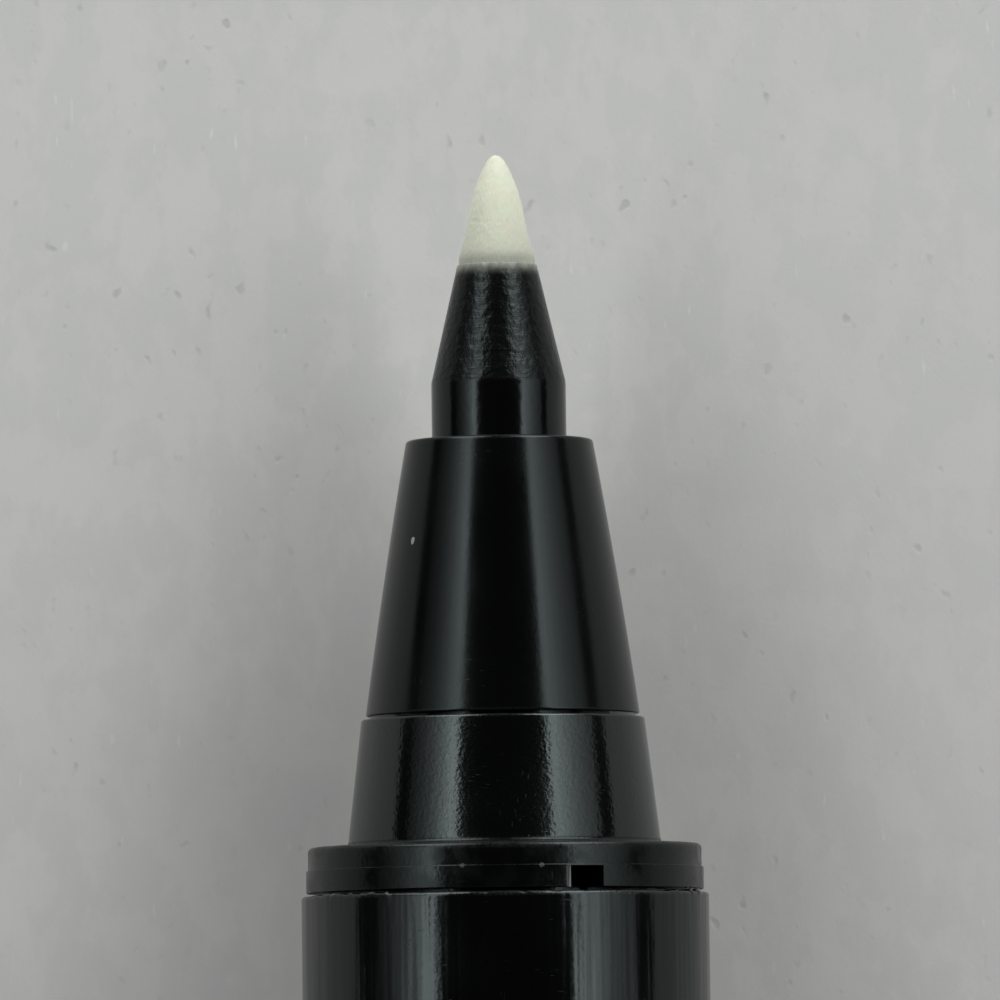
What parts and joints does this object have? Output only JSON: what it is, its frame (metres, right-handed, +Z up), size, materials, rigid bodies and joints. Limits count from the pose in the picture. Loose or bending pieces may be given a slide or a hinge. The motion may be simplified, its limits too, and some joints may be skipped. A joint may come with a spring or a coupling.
{
  "type": "counterfeit detector pen",
  "caption": "Slim black felt-tip marker for testing banknote paper: ivory fibre nib, tapered nose, flanged collar, straight barrel, and a clip cap pushed onto the tail.",
  "frame": {"origin": "on the surface that the pen lies on, under the middle of its whole box", "axes": "+X along the pen from the cap to the nib, +Y away from the clip's side, +Z up"},
  "size_m": [0.1484, 0.0134, 0.0105],
  "materials": {
    "gloss_black_plastic": "moulded gloss with faint orange peel and fine scratches",
    "satin_black_plastic": "moulded satin",
    "nib_fibre": "ground, pressed fibre, ivory",
    "reservoir_fibre": "bonded fibre, stained amber by the fluid",
    "clear_film": "thin clear film",
    "milky_plastic": "soft natural polyethylene"
  },
  "bodies": {
    "pen": {"nib": "nib_fibre", "nib_holder": "satin_black_plastic", "nose_cone": "gloss_black_plastic", "section_collar": "gloss_black_plastic", "barrel": "gloss_black_plastic", "reservoir_core": "reservoir_fibre", "reservoir_wrap": "clear_film", "tail_plug": "gloss_black_plastic"},
    "inner_cap": {"cap_liner": "milky_plastic"},
    "cap": {"cap_shell": "gloss_black_plastic", "cap_crown": "gloss_black_plastic", "clip_mount": "gloss_black_plastic"},
    "clip": {"clip_arm": "gloss_black_plastic"}
  },
  "joints": [
    {"name": "cap_pull", "type": "slide", "parent": "pen", "child": "inner_cap", "axis": [-1, 0, 0], "range_m": [0, 0.03]},
    {"name": "cap_twist", "type": "hinge", "parent": "inner_cap", "child": "cap", "pos_m": [-0.06, 0.00145, 0.00524], "axis": [1, 0, 0], "continuous": true},
    {"name": "clip_flex", "type": "hinge", "parent": "cap", "child": "clip", "pos_m": [-0.06824, -0.00544, 0.00169], "axis": [0, 0.4573, -0.8893], "range_deg": [0, 5], "stiffness_Nm_per_rad": 0.5}
  ]
}
